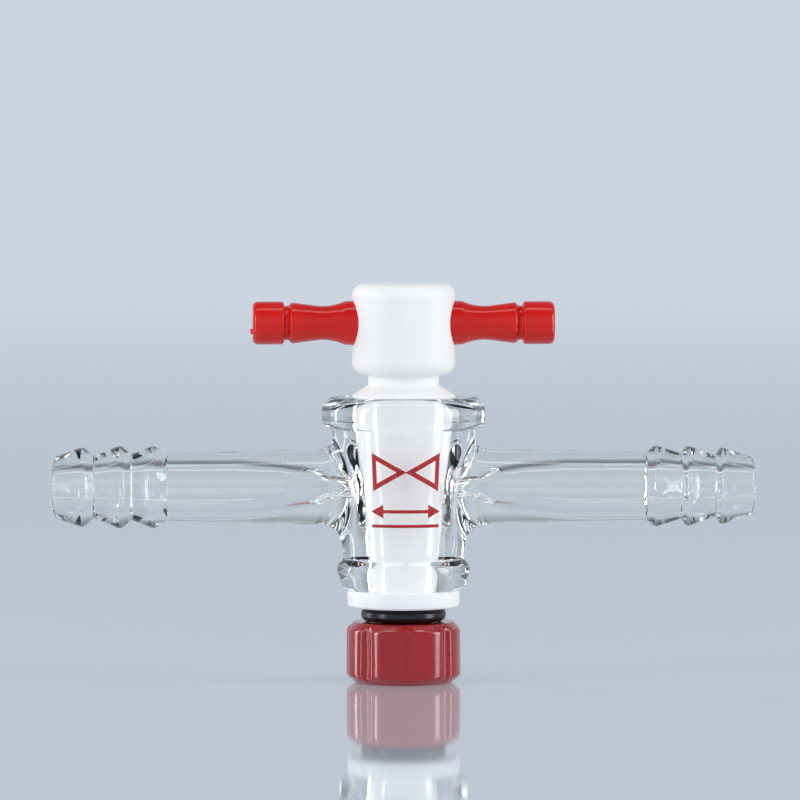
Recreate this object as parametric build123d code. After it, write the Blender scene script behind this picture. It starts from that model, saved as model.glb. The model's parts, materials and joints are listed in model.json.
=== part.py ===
from build123d import *
from math import cos, radians, sin
import os

# Glass stopcock with a PTFE key: a barbed glass body, a turning key with a bar handle, and its retaining nut.
# Millimetres, +Z up. The key's axis is Z, the arms lie along X, the front is -Y. The origin is at the centre of
# the nut's foot, on which the stopcock stands. The key is open: its cross bore is in line with the arms.

# Retaining stack, from the foot upwards
TAIL_R = 4.0            # M8 tail of the key, over the thread's crests
TAIL_FLAT = 3.4         # axis to the flat that runs down the tail's back
TAIL_RECESS = 1.0       # tail's end inside the nut's foot
THREAD_GAP = 0.05       # radial, between the nut's hole and the tail
NUT_R = 8.25
NUT_H = 8.7
NUT_TOP_CHAMFER = 1.05
NUT_FOOT_CHAMFER = (1.1, 1.4)  # height, width
NUT_LEAD = 0.6          # chamfer at both mouths of the threaded hole
GROOVES = 8             # finger grooves round the nut
GROOVE_R = 1.1
GROOVE_DEPTH = 0.32
GROOVE_TURN = 2.0       # degrees from the front to the nearest groove
O_RING_SECTION = 2.0
WASHER_R = 8.0
WASHER_T = 2.4
WASHER_CHAMFER = 0.5
SLIDE_GAP = 0.1         # radial, round the tail in the washer and the O-ring
FACE_GAP = 0.05         # between faces that turn on each other

# Barrel and key: a 1:5 taper
TAPER = 0.1             # gain in radius for each millimetre of height
BARREL_H = 27.6
BORE_END_STEP = 0.59    # bore radius at the barrel's bottom, over the tail's radius
KEY_FIT = 0.04          # radial, between the key's cone and the bore
KEY_SHORT = 0.8         # cone's small end above the barrel's bottom
KEY_PROUD = 0.15        # cone's large end above the barrel's top
WALL_LOW = 3.55         # barrel wall above the bead
WALL_HIGH = 3.35        # barrel wall under the flange
MOUTH_WALL = 3.2        # end face of the barrel, at the bottom
MOUTH_ROUND = 0.9
BEAD_WALL = 4.45
BEAD_H = 4.5            # height of the bottom bead
BEAD_PEAK = 2.75        # its widest place above the barrel's bottom
FLANGE_WALL = 4.35
FLANGE_H = 4.5
FLANGE_ROUND = 1.6      # top edge
FLANGE_UNDER_ROUND = 1.1
NECK_FILLET = 0.3       # where the cone of the barrel meets the bead and the flange

# Head of the key
SHOULDER_H = 1.45       # straight slope from the cone up to the neck
NECK_R = 5.03
NECK_H = 1.5
HEAD_R = 7.35
HEAD_H = 12.95
HEAD_ROUND = 1.7

# Arms
ARM_REACH = 50.0        # key's axis to each tip
ARM_HEIGHT = 14.7       # arm's axis above the barrel's bottom
ARM_ROOT_R = 5.75       # outside, the arm's cone run on to the key's axis
ARM_MID_R = 5.1         # outside, halfway to the barbs
ARM_END_R = 4.82        # outside, before the barbs
ARM_FILLET = 2.2        # round the joint of arm and barrel
BARB_PITCH = 4.8
BARB_PEAK_R = (5.45, 5.7, 5.7)      # from the tip inwards
BARB_VALLEY_R = (4.5, 4.75)
BARB_STEP = 1.3         # length of each barb's steep side
BARB_ROUND = 0.45
TIP_LENGTH = 4.5        # tip to the first barb's peak
TIP_R = 4.3
TIP_ROUND = 0.7
ARM_BORE_R = 3.3        # the wide stretch of the arm's bore
ARM_BORE_LENGTH = 12.0
TIP_BORE_R = 2.55
TIP_BORE_RUN = 14.0     # the bore narrows over this length, down to the tip
PORT_R = 1.25           # cross bore of the key and the holes in the barrel's wall
PORT_LENGTH = 3.3       # straight hole in the wall, from the bore outwards
PORT_FUNNEL = 4.0       # half-way radius of the funnel is reached over this length
PORT_FUNNEL_R = 2.45

# Handle: a bar along X through the head
HANDLE_HEIGHT = 7.35    # bar's axis above the head's underside
HANDLE_R = 3.16         # in the head
HANDLE_FIT = 0.01       # radial, bar in head
HANDLE_REACH = 21.5
HANDLE_FLARE = 0.8      # straight part outside the head
HANDLE_WAIST = (3.25, 2.41)     # beyond the head, and radius
HANDLE_SWELL = (8.65, 2.93)
KNOB_LENGTH = 4.3
KNOB_R = 3.1
KNOB_ROUND = 0.4
KNOB_GROOVE = (0.3, 0.5, 0.4)   # slope towards the knob, floor, slope towards the bar
KNOB_GROOVE_R = 2.48

# Levels worked out from the stack
O_RING_Z = NUT_H + FACE_GAP
WASHER_Z = O_RING_Z + O_RING_SECTION + FACE_GAP
BARREL_Z = WASHER_Z + WASHER_T + FACE_GAP
BARREL_TOP = BARREL_Z + BARREL_H
ARM_Z = BARREL_Z + ARM_HEIGHT
CONE_TOP = BARREL_TOP + KEY_PROUD
NECK_Z = CONE_TOP + SHOULDER_H
HEAD_Z = NECK_Z + NECK_H
HANDLE_Z = HEAD_Z + HANDLE_HEIGHT


def bore_r(z):
    """Radius of the tapered bore at a height."""
    return TAIL_R + BORE_END_STEP + TAPER * (z - BARREL_Z)


def turned(outline, axis=Axis.Z):
    """Solid of revolution from a closed outline drawn in the XZ plane."""
    return revolve(Plane.XZ * make_face(outline), axis)


def rounded(body, radius, *points):
    """A turned body with the edges through these points of its outline rounded."""
    rings = body.edges().filter_by(lambda edge: edge.is_closed)
    return fillet([rings.sort_by_distance(Vector(x, 0, z))[0] for x, z in points], radius)


def barrel_blank():
    """Outside of the barrel, solid: mouth, bead, cone and flange."""
    waist_z = BARREL_Z + BEAD_H
    under_z = BARREL_TOP - FLANGE_H
    mouth = (bore_r(BARREL_Z) + MOUTH_WALL, BARREL_Z)
    rim = (mouth[0] + MOUTH_ROUND, BARREL_Z + MOUTH_ROUND)
    bead = (bore_r(BARREL_Z + BEAD_PEAK) + BEAD_WALL, BARREL_Z + BEAD_PEAK)
    waist = (bore_r(waist_z) + WALL_LOW, waist_z)
    under = (bore_r(under_z) + WALL_HIGH, under_z)
    flange_r = bore_r(BARREL_TOP) + FLANGE_WALL
    flange = ((flange_r, under_z), (flange_r, BARREL_TOP))
    outline = Polyline((0, BARREL_TOP), (0, BARREL_Z), mouth, rim)
    outline += ThreePointArc(rim, bead, waist)
    outline += Polyline(waist, under, *flange, (0, BARREL_TOP))
    body = rounded(turned(outline), FLANGE_UNDER_ROUND, flange[0])
    body = rounded(body, FLANGE_ROUND, flange[1])
    body = rounded(body, MOUTH_ROUND, mouth)
    return rounded(body, NECK_FILLET, waist, under)


def arm_blank():
    """Outside of the arm on +X, solid from the key's axis to the tip, with three barbs."""
    peaks = [(ARM_REACH - TIP_LENGTH - i * BARB_PITCH, r) for i, r in enumerate(BARB_PEAK_R)]
    valleys = [(x - BARB_STEP, r) for (x, _), r in zip(peaks, BARB_VALLEY_R + (ARM_END_R,))]
    barbs = [point for pair in zip(peaks, valleys) for point in pair]
    middle = ((bore_r(ARM_Z) + WALL_LOW + valleys[-1][0]) / 2, ARM_MID_R)
    tip = (ARM_REACH, TIP_R)
    outline = Polyline((0, 0), (ARM_REACH, 0), tip, *barbs, middle, (0, ARM_ROOT_R), (0, 0))
    body = rounded(turned(outline, Axis.X), TIP_ROUND, tip)
    return rounded(body, BARB_ROUND, *barbs)


def arm_bore():
    """The flow passage of the arm on +X: port, funnel, wide stretch and the narrowing to the tip."""
    wall = bore_r(ARM_Z)
    narrow = ARM_REACH - TIP_BORE_RUN
    wide = narrow - ARM_BORE_LENGTH
    port = wall + PORT_LENGTH
    outline = Polyline(
        (0, 0), (0, PORT_R), (port, PORT_R), (port + PORT_FUNNEL, PORT_FUNNEL_R), (wide, ARM_BORE_R),
        (narrow, ARM_BORE_R), (ARM_REACH + 1, TIP_BORE_R), (ARM_REACH + 1, 0), (0, 0),
    )
    return turned(outline, Axis.X)


def both_sides(solid):
    return [solid, mirror(solid, Plane.YZ)]


def glass_body():
    """Barrel and both arms, one piece of glass, with the tapered bore and the flow passage."""
    barrel = barrel_blank()
    arms = [Pos(0, 0, ARM_Z) * side for side in both_sides(arm_blank())]
    blank = barrel + arms[0] + arms[1]
    seams = new_edges(barrel, *arms, combined=blank)
    blank = fillet(seams, ARM_FILLET)
    low, high = BARREL_Z - 1, BARREL_TOP + 1
    bore = turned(Polyline((0, low), (bore_r(low), low), (bore_r(high), high), (0, high), (0, low)))
    for passage in both_sides(arm_bore()):
        blank -= Pos(0, 0, ARM_Z) * passage
    return blank - bore


def key():
    """The PTFE key: head, neck, cone with its cross bore, and the tail with its flat."""
    cone_z = BARREL_Z + KEY_SHORT
    small, large = (bore_r(z) - KEY_FIT for z in (cone_z, CONE_TOP))
    head_top = HEAD_Z + HEAD_H
    tail = [(0, TAIL_RECESS), (TAIL_R, TAIL_RECESS), (TAIL_R, cone_z)]
    head = [(NECK_R, HEAD_Z), (HEAD_R, HEAD_Z), (HEAD_R, head_top), (0, head_top)]
    outline = Polyline(*tail, (small, cone_z), (large, CONE_TOP), (NECK_R, NECK_Z), *head, (0, TAIL_RECESS))
    body = rounded(turned(outline), HEAD_ROUND, (HEAD_R, HEAD_Z), (HEAD_R, head_top))
    flat_height = cone_z - TAIL_RECESS
    flat = Box(2 * TAIL_R, TAIL_R, flat_height, align=(Align.CENTER, Align.MIN, Align.MIN))
    body -= Pos(0, TAIL_FLAT, TAIL_RECESS) * flat
    body -= Pos(0, 0, ARM_Z) * Rot(0, 90, 0) * Cylinder(PORT_R, 4 * HEAD_R)
    body -= Pos(0, 0, HANDLE_Z) * Rot(0, 90, 0) * Cylinder(HANDLE_R + HANDLE_FIT, 4 * HEAD_R)
    return body


def handle():
    """The bar: straight through the head, a slim waist, and a grooved knob at each end."""
    flare = HEAD_R + HANDLE_FLARE
    waist, swell = ((HEAD_R + x, r) for x, r in (HANDLE_WAIST, HANDLE_SWELL))
    knob = HANDLE_REACH - KNOB_LENGTH
    to_knob, floor, to_bar = KNOB_GROOVE
    groove = [(knob - to_knob - floor, KNOB_GROOVE_R), (knob - to_knob, KNOB_GROOVE_R)]
    lip = (groove[0][0] - to_bar, swell[1])
    outline = Polyline((0, 0), (0, HANDLE_R), (flare, HANDLE_R))
    outline += Spline((flare, HANDLE_R), waist, lip, tangents=((1, -0.3), (1, 0.02)))
    outline += Polyline(lip, *groove, (knob, KNOB_R), (HANDLE_REACH, KNOB_R), (HANDLE_REACH, 0), (0, 0))
    half = rounded(turned(outline, Axis.X), KNOB_ROUND, (HANDLE_REACH, KNOB_R))
    left, right = both_sides(half)
    return Pos(0, 0, HANDLE_Z) * (left + right)


def washer():
    """PTFE washer with a D-shaped hole that keeps it from turning on the key's tail."""
    disc = Pos(0, 0, WASHER_Z) * Cylinder(WASHER_R, WASHER_T, align=(Align.CENTER, Align.CENTER, Align.MIN))
    disc = chamfer(disc.faces().sort_by(Axis.Z)[0].edges(), WASHER_CHAMFER)
    hole = Circle(TAIL_R + SLIDE_GAP)
    hole -= Pos(0, TAIL_FLAT + SLIDE_GAP) * Rectangle(4 * TAIL_R, 2 * TAIL_R, align=(Align.CENTER, Align.MIN))
    return disc - Pos(0, 0, WASHER_Z) * extrude(hole, WASHER_T)


def o_ring():
    ring_r = TAIL_R + SLIDE_GAP + O_RING_SECTION / 2
    return Pos(0, 0, O_RING_Z + O_RING_SECTION / 2) * Torus(ring_r, O_RING_SECTION / 2)


def nut():
    """Retaining nut: chamfered rim with finger grooves, on a through hole."""
    foot_h, foot_w = NUT_FOOT_CHAMFER
    hole_r = TAIL_R + THREAD_GAP
    mouth_r = hole_r + NUT_LEAD
    foot = [(mouth_r, 0), (NUT_R - foot_w, 0), (NUT_R, foot_h)]
    top = [(NUT_R, NUT_H - NUT_TOP_CHAMFER), (NUT_R - NUT_TOP_CHAMFER, NUT_H), (mouth_r, NUT_H)]
    hole = [(hole_r, NUT_H - NUT_LEAD), (hole_r, NUT_LEAD)]
    body = turned(Polyline(*foot, *top, *hole, (mouth_r, 0)))
    groove = Cylinder(GROOVE_R, NUT_H, align=(Align.CENTER, Align.CENTER, Align.MIN))
    for i in range(GROOVES):
        turn = radians(GROOVE_TURN - 90 + 360 * i / GROOVES)
        out = NUT_R + GROOVE_R - GROOVE_DEPTH
        body -= Pos(out * cos(turn), out * sin(turn), 0) * groove
    return body


if __name__ == "__main__":
    os.makedirs("parts", exist_ok=True)
    for piece in (glass_body, key, handle, washer, o_ring, nut):
        export_step(piece(), f"parts/{piece.__name__}.step")
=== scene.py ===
import json
from math import atan2, ceil, cos, pi, radians, sin, tan

import bmesh
import bpy
import numpy as np
from bpy.props import FloatProperty, FloatVectorProperty, IntProperty, PointerProperty
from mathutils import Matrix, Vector


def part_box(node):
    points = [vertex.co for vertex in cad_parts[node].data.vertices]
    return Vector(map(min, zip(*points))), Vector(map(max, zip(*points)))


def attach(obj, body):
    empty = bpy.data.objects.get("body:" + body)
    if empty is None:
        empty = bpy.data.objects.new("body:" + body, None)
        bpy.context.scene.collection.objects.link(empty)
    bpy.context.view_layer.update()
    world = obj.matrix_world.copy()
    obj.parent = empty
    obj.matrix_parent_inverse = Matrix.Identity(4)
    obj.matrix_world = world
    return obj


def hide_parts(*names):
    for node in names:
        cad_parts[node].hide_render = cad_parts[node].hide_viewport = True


bl_info = {
    "name": "Glass Stopcock",
    "version": (1, 0, 0),
    "blender": (4, 5, 0),
    "location": "View3D > Sidebar > Stopcock",
    "description": "Builds a glass stopcock with a PTFE key on its CAD frame",
    "category": "Object",
}

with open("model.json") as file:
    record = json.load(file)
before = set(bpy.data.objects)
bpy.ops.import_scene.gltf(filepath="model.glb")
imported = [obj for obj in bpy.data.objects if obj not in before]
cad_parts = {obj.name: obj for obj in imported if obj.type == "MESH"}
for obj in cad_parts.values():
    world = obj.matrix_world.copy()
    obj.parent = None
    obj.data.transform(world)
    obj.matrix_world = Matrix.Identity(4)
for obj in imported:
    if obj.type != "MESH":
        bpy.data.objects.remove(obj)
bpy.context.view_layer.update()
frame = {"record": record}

MM = 0.001
LEFT, RIGHT = -1, 1
ARM_RISE = 0.9                           # the arms sit a little above the barrel's middle, in millimetres
TAIL_R = 4.0                             # over the tail's thread
CONE_LOW, CONE_OUT = 0.8, 0.15           # the key's cone starts inside the mouth and ends above the flange
NECK_RISE, HEAD_RISE = 1.45, 2.95        # from the cone's top to the neck, and to the head
BAR_FIT = 0.02                           # room round the bar in the key's hole
BORE_SPAN, BAR_SPAN = 1.7, 3.8           # half heights of the key's openings for the cross bore and the bar
BORE_WINDOW, BAR_WINDOW = 6, 11          # their half widths, in 128ths of a turn
WASHER_HOLE, WASHER_FLAT = 4.1, 3.5      # the washer's round hole, and the flat that keys on the tail


# ---------------------------------------------------------------- sizes read from the frame, in millimetres

def low(node, axis):
    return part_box(node)[0]["xyz".index(axis)] / MM


def high(node, axis):
    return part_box(node)[1]["xyz".index(axis)] / MM


def middle(node, axis):
    return (low(node, axis) + high(node, axis)) / 2


MOUTH_Z = low("glass_body", "z")        # bottom end of the barrel
TOP_Z = high("glass_body", "z")
FLANGE_R = high("glass_body", "y")
REACH = high("glass_body", "x")
HANDLE_Z = middle("handle", "z")
ARM_Z = middle("glass_body", "z") + ARM_RISE
PITCH = 2 * pi / abs(frame["record"]["behaviour"]["couplings"][0]["ratio"]) / MM


def linear(code):
    """An sRGB hex colour as linear red, green and blue."""
    parts = [int(code[i:i + 2], 16) / 255 for i in (0, 2, 4)]
    return tuple(c / 12.92 if c <= 0.04045 else ((c + 0.055) / 1.055) ** 2.4 for c in parts)


# ---------------------------------------------------------------- settings

def length(name, default, description):
    return FloatProperty(name=name, description=description, default=default * MM, unit="LENGTH", precision=5)


def colour(name, code, description):
    return FloatVectorProperty(
        name=name, description=description, default=linear(code), subtype="COLOR", size=3
    )


class GlassSettings(bpy.types.PropertyGroup):
    """The glass body and the mark fired on it."""
    columns: IntProperty(name="Columns", description="Faces round the barrel", default=96, min=48)
    bore_end: length("Bore end radius", 4.59, "Radius of the tapered bore at the barrel's bottom")
    taper: FloatProperty(name="Taper", description="Gain in radius for each unit of height", default=0.1)
    waist: length("Waist radius", 8.66, "Outside radius of the barrel just above the bead")
    flare: FloatProperty(name="Flare", description="Gain in the outside radius with height", default=0.0883)
    arm_root: length("Arm root radius", 5.42, "Outside radius of an arm where it leaves the barrel")
    arm_end: length("Arm end radius", 4.82, "Outside radius of an arm before the barbs")
    fillet_top: length("Upper fillet", 2.3, "Reach of the fused joint above an arm")
    fillet_low: length("Lower fillet", 3.3, "Reach of the fused joint below an arm")
    port: length("Port radius", 1.25, "Radius of the hole through the barrel's wall")
    wobble: length("Wobble", 0.014, "Height of the waves that the flame leaves in the wall")
    mark_colour: colour("Mark colour", "B01822", "Fired enamel of the valve sign")


class KeySettings(bpy.types.PropertyGroup):
    """The turned key and the cut washer."""
    columns: IntProperty(name="Columns", description="Faces round the key", default=128, min=64)
    fit: length("Key gap", 0.04, "Radial gap between the key's cone and the bore")
    neck: length("Neck radius", 5.03, "Radius of the neck under the head")
    round: length("Head rounding", 1.75, "Rounding of both edges of the head")
    flat: length("Tail flat", 3.4, "Distance of the tail's flat from the axis")
    thread_depth: length("Thread depth", 0.72, "Depth of the tail's thread")
    body_colour: colour("Key colour", "FAFAF9", "PTFE of the key")
    washer_colour: colour("Washer colour", "F8F8F9", "PTFE of the washer")


class GripSettings(bpy.types.PropertyGroup):
    """The bar handle and the nut."""
    columns: IntProperty(name="Columns", description="Faces round the handle", default=180, min=48)
    parting: length("Parting ridge", 0.12, "Height of the mould's parting line on the handle")
    grooves: IntProperty(name="Grooves", description="Finger grooves round the nut", default=8, min=3)
    groove_depth: length("Groove depth", 0.6, "Depth of a finger groove")
    groove_width: length("Groove width", 0.85, "Half width of a finger groove")
    groove_turn: FloatProperty(
        name="Groove turn", description="Turn of the grooves from the front", default=radians(2),
        subtype="ANGLE",
    )
    nut_radius: length("Nut radius", 8.25, "Radius over the nut's lobes")
    clearance: length("Thread clearance", 0.1, "Radial gap between the nut's thread and the tail's")
    handle_colour: colour("Handle colour", "D4140A", "Polypropylene of the bar")
    nut_colour: colour("Nut colour", "9E1019", "Polyamide of the nut")
    ring_colour: colour("Ring colour", "16171A", "Nitrile rubber of the O-ring")


class StageSettings(bpy.types.PropertyGroup):
    """Floor, lamps and camera."""
    floor_colour: colour("Floor colour", "CCD5DF", "Pale cool floor and backdrop")
    distance: FloatProperty(
        name="Camera distance", description="From the aim point", default=0.95, unit="LENGTH"
    )
    width: FloatProperty(
        name="View width", description="Width seen at the aim point", default=0.114, unit="LENGTH"
    )
    azimuth: FloatProperty(name="Azimuth", description="Camera's turn", default=radians(-2), subtype="ANGLE")
    elevation: FloatProperty(
        name="Elevation", description="Camera's height", default=radians(3), subtype="ANGLE"
    )


# ---------------------------------------------------------------- outlines

def outline(corners, step=0.8, arc_step=radians(9)):
    """Points along corners given as (a, b, radius): inner corners are arcs, and long runs are divided."""
    points = [np.array(corners[0][:2], float)]
    for before, here, after in zip(corners, corners[1:], corners[2:]):
        at = np.array(here[:2], float)
        to_before, to_after = (np.array(p[:2], float) - at for p in (before, after))
        u, v = to_before / np.linalg.norm(to_before), to_after / np.linalg.norm(to_after)
        opening = np.arccos(np.clip(u @ v, -1, 1))
        radius = here[2]
        if radius == 0 or pi - opening < 1e-3:
            points.append(at)
            continue
        start = at + u * radius / tan(opening / 2)
        centre = at + (u + v) / np.linalg.norm(u + v) * radius / sin(opening / 2)
        first = atan2(*(start - centre)[::-1])
        turn = (pi - opening) * (1 if u[0] * v[1] - u[1] * v[0] < 0 else -1)
        count = max(2, ceil(abs(turn) / arc_step))
        for i in range(count + 1):
            angle = first + turn * i / count
            points.append(centre + radius * np.array([cos(angle), sin(angle)]))
    points.append(np.array(corners[-1][:2], float))
    divided = [points[0]]
    for a, b in zip(points, points[1:]):
        parts = max(1, ceil(np.linalg.norm(b - a) / step - 1e-6))
        divided += [a + (b - a) * i / parts for i in range(1, parts + 1)]
    return divided


def smooth_min(a, b, reach):
    """The lesser of two fields, blended where they are closer than reach."""
    h = np.maximum(reach - np.abs(a - b), 0) / reach
    return np.minimum(a, b) - h * h * reach / 4


# ---------------------------------------------------------------- turned surfaces with ports

class Skin:
    """Vertices and faces of one closed surface, in millimetres, grown ring by ring."""

    def __init__(self):
        self.points = []
        self.faces = []

    def add(self, points):
        start = len(self.points)
        self.points.extend(np.asarray(points, float))
        return list(range(start, start + len(points)))

    def lathe(self, rows, columns):
        """A ring of points round Z for each (radius, height)."""
        turns = [2 * pi * i / columns for i in range(columns)]
        return [self.add([(r * cos(t), r * sin(t), z) for t in turns]) for r, z in rows]

    def skin_rows(self, grid, closed, windows=()):
        """Faces between the rings, left out inside each window."""
        columns = len(grid[0])
        for i in range(len(grid) - (not closed)):
            lower, upper = grid[i], grid[(i + 1) % len(grid)]
            for c in range(columns):
                if not any(w.holds(i, c, columns) for w in windows):
                    d = (c + 1) % columns
                    self.faces.append((lower[c], lower[d], upper[d], upper[c]))

    def skin_rings(self, rings):
        for a, b in zip(rings, rings[1:]):
            for i in range(len(a)):
                j = (i + 1) % len(a)
                self.faces.append((a[i], a[j], b[j], b[i]))

    def at(self, ring):
        return np.array([self.points[i] for i in ring])

    def grow(self, rim, target, field, count):
        """Rings from a window's rim to a target ring, laid on the surface where field is zero."""
        start = self.at(rim)
        share = (np.arange(1, count + 1) / (count + 1))[:, None, None]
        rings = settle(start * (1 - share) + target * share, field)
        for _ in range(60):
            full = np.concatenate([start[None], rings, target[None]])
            beside = (np.roll(rings, 1, 1) + np.roll(rings, -1, 1) + full[:-2] + full[2:]) / 4
            rings = settle(rings * 0.4 + beside * 0.6, field, 2)
        return [rim] + [self.add(r) for r in rings] + [self.add(target)]

    def mesh(self, name):
        mesh = bpy.data.meshes.new(name)
        mesh.from_pydata([tuple(p * MM) for p in self.points], [], self.faces)
        shape = bmesh.new()
        shape.from_mesh(mesh)
        bmesh.ops.recalc_face_normals(shape, faces=shape.faces)
        shape.to_mesh(mesh)
        shape.free()
        mesh.polygons.foreach_set("use_smooth", [True] * len(mesh.polygons))
        return mesh


class Window:
    """A rectangle of a turned grid, left open for a port along X on one side."""

    def __init__(self, first, last, half, side):
        self.first, self.last, self.half, self.side = first, last, half, side

    def centre(self, columns):
        return 0 if self.side == RIGHT else columns // 2

    def holds(self, row, column, columns):
        inside = (column - self.centre(columns) + self.half) % columns < 2 * self.half
        return self.first <= row < self.last and inside

    def rim(self, skin, grid, axis_z):
        """The rectangle's rim, in order of angle round the port's axis, beginning nearest to angle 0."""
        columns = len(grid[0])
        across = [(self.centre(columns) - self.half + i) % columns for i in range(2 * self.half + 1)]
        rim = [grid[self.first][c] for c in across]
        rim += [grid[r][across[-1]] for r in range(self.first + 1, self.last)]
        rim += [grid[self.last % len(grid)][c] for c in reversed(across)]
        rim += [grid[r][across[0]] for r in range(self.last - 1, self.first, -1)]
        points = skin.at(rim)
        angle = np.unwrap(np.arctan2(points[:, 2] - axis_z, points[:, 1]))
        if angle[-1] < angle[0]:
            rim, angle = rim[::-1], angle[::-1]
        even = 2 * pi * np.arange(len(rim)) / len(rim)
        shift = round(float(np.mean(angle - even)) / (2 * pi / len(rim)))
        return [rim[(k - shift) % len(rim)] for k in range(len(rim))]


def settle(points, field, rounds=6):
    """Moves points along the field's slope on to the surface where it is zero."""
    points = points.copy()
    reach = 1e-4
    for _ in range(rounds):
        value = field(points)
        slope = np.stack([field(points + reach * np.eye(3)[i]) - value for i in range(3)], -1) / reach
        points -= slope * (value / np.maximum((slope * slope).sum(-1), 1e-6))[..., None]
    return points


def port_rings(x, radius, axis_z, count):
    turn = 2 * pi * np.arange(count) / count
    return np.stack([np.full(count, x), radius * np.cos(turn), axis_z + radius * np.sin(turn)], -1)


def from_z_axis(p):
    return np.hypot(p[..., 0], p[..., 1])


def from_arm_axis(p, axis_z):
    return np.hypot(p[..., 1], p[..., 2] - axis_z)


# ---------------------------------------------------------------- nodes

def add(tree, kind, sockets=(), **settings):
    """Adds a node. Settings are its own properties, and sockets gives its inputs values or links to make."""
    node = tree.nodes.new(kind)
    for name, value in settings.items():
        setattr(node, name, value)
    for key, value in sockets.items() if isinstance(sockets, dict) else enumerate(sockets):
        if isinstance(value, bpy.types.NodeSocket):
            tree.links.new(value, node.inputs[key])
        else:
            node.inputs[key].default_value = value
    return node


def new_material(name):
    material = bpy.data.materials.new(name)
    material.use_nodes = True
    material.node_tree.nodes.clear()
    return material, material.node_tree


def opaque(value):
    return (*value, 1.0)


def borosilicate_glass():
    """Drawn and flame-worked borosilicate: clear, fire-polished, with slow waves that bend the highlights."""
    material, tree = new_material("borosilicate_glass_flame_worked")
    place = add(tree, "ShaderNodeTexCoord").outputs["Object"]
    # waves about 5.6 mm long, as the flame leaves them
    waves = add(tree, "ShaderNodeTexNoise", {"Vector": place, "Scale": 0.18 / MM, "Detail": 1.0})
    bump = add(tree, "ShaderNodeBump", {"Height": waves.outputs[0], "Strength": 0.05, "Distance": 0.4 * MM})
    shader = add(tree, "ShaderNodeBsdfPrincipled", {
        "Base Color": (0.985, 0.995, 0.992, 1), "Roughness": 0.0, "IOR": 1.473, "Transmission Weight": 1.0,
        "Normal": bump.outputs[0],
    })
    add(tree, "ShaderNodeOutputMaterial", {"Surface": shader.outputs[0]})
    return material


def turned_ptfe(name, value, ring_mm):
    """PTFE off the lathe: waxy white, light sinks in, with the faint rings of the tool."""
    material, tree = new_material(name)
    place = add(tree, "ShaderNodeTexCoord").outputs["Object"]
    height = add(tree, "ShaderNodeSeparateXYZ", {0: place}).outputs["Z"]
    # cloudy patches of 2.4 mm; a real tool leaves rings 0.1 mm apart, drawn coarser here so that they show
    haze = add(tree, "ShaderNodeTexNoise", {"Vector": place, "Scale": 0.42 / MM, "Detail": 3.0})
    drift = add(tree, "ShaderNodeMath", (haze.outputs[0], 0.6 * MM), operation="MULTIPLY").outputs[0]
    along = add(tree, "ShaderNodeMath", (height, drift), operation="ADD").outputs[0]
    phase = add(tree, "ShaderNodeMath", (along, 2 * pi / (ring_mm * MM)), operation="MULTIPLY").outputs[0]
    rings = add(tree, "ShaderNodeMath", (phase,), operation="SINE").outputs[0]
    relief = add(tree, "ShaderNodeMath", (rings, 0.3, haze.outputs[0]), operation="MULTIPLY_ADD").outputs[0]
    bump = add(tree, "ShaderNodeBump", {"Height": relief, "Strength": 0.18, "Distance": 0.05 * MM})
    shader = add(tree, "ShaderNodeBsdfPrincipled", {
        "Base Color": opaque(value), "Roughness": 0.38, "IOR": 1.36, "Normal": bump.outputs[0],
        "Subsurface Weight": 0.25, "Subsurface Radius": (1.0, 0.95, 0.9), "Subsurface Scale": 1.2 * MM,
    })
    add(tree, "ShaderNodeOutputMaterial", {"Surface": shader.outputs[0]})
    return material


def moulded_plastic(name, value, roughness, grain_mm, coat):
    """Injection-moulded plastic: even colour, a tight skin with a trace of flow and of the mould's grain."""
    material, tree = new_material(name)
    place = add(tree, "ShaderNodeTexCoord").outputs["Object"]
    # flow marks of 6 mm; a real mould's grain is about 0.05 mm, drawn coarser here so that it shows
    flow = add(tree, "ShaderNodeTexNoise",
               {"Vector": place, "Scale": 0.16 / MM, "Detail": 2.0, "Distortion": 0.6})
    grain = add(tree, "ShaderNodeTexNoise", {"Vector": place, "Scale": 1 / (grain_mm * MM), "Detail": 2.0})
    tone = add(tree, "ShaderNodeMapRange", {"Value": flow.outputs[0], "From Min": 0.3, "From Max": 0.7,
                                            "To Min": 0.9, "To Max": 1.06})
    base = add(tree, "ShaderNodeVectorMath", {0: value}, operation="SCALE")
    tree.links.new(tone.outputs[0], base.inputs["Scale"])
    shine = add(tree, "ShaderNodeMapRange", {"Value": flow.outputs[0], "From Min": 0.3, "From Max": 0.7,
                                             "To Min": roughness * 0.85, "To Max": roughness * 1.2})
    relief = add(tree, "ShaderNodeMath", (flow.outputs[0], 1.5, grain.outputs[0]),
                 operation="MULTIPLY_ADD").outputs[0]
    bump = add(tree, "ShaderNodeBump", {"Height": relief, "Strength": 0.12, "Distance": 0.08 * MM})
    shader = add(tree, "ShaderNodeBsdfPrincipled", {
        "Base Color": base.outputs[0], "Roughness": shine.outputs[0], "IOR": 1.5, "Normal": bump.outputs[0],
        "Specular IOR Level": 0.25, "Coat Weight": coat, "Coat Roughness": 0.06,
        "Subsurface Weight": 0.08, "Subsurface Scale": 0.6 * MM,
    })
    add(tree, "ShaderNodeOutputMaterial", {"Surface": shader.outputs[0]})
    return material


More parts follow.
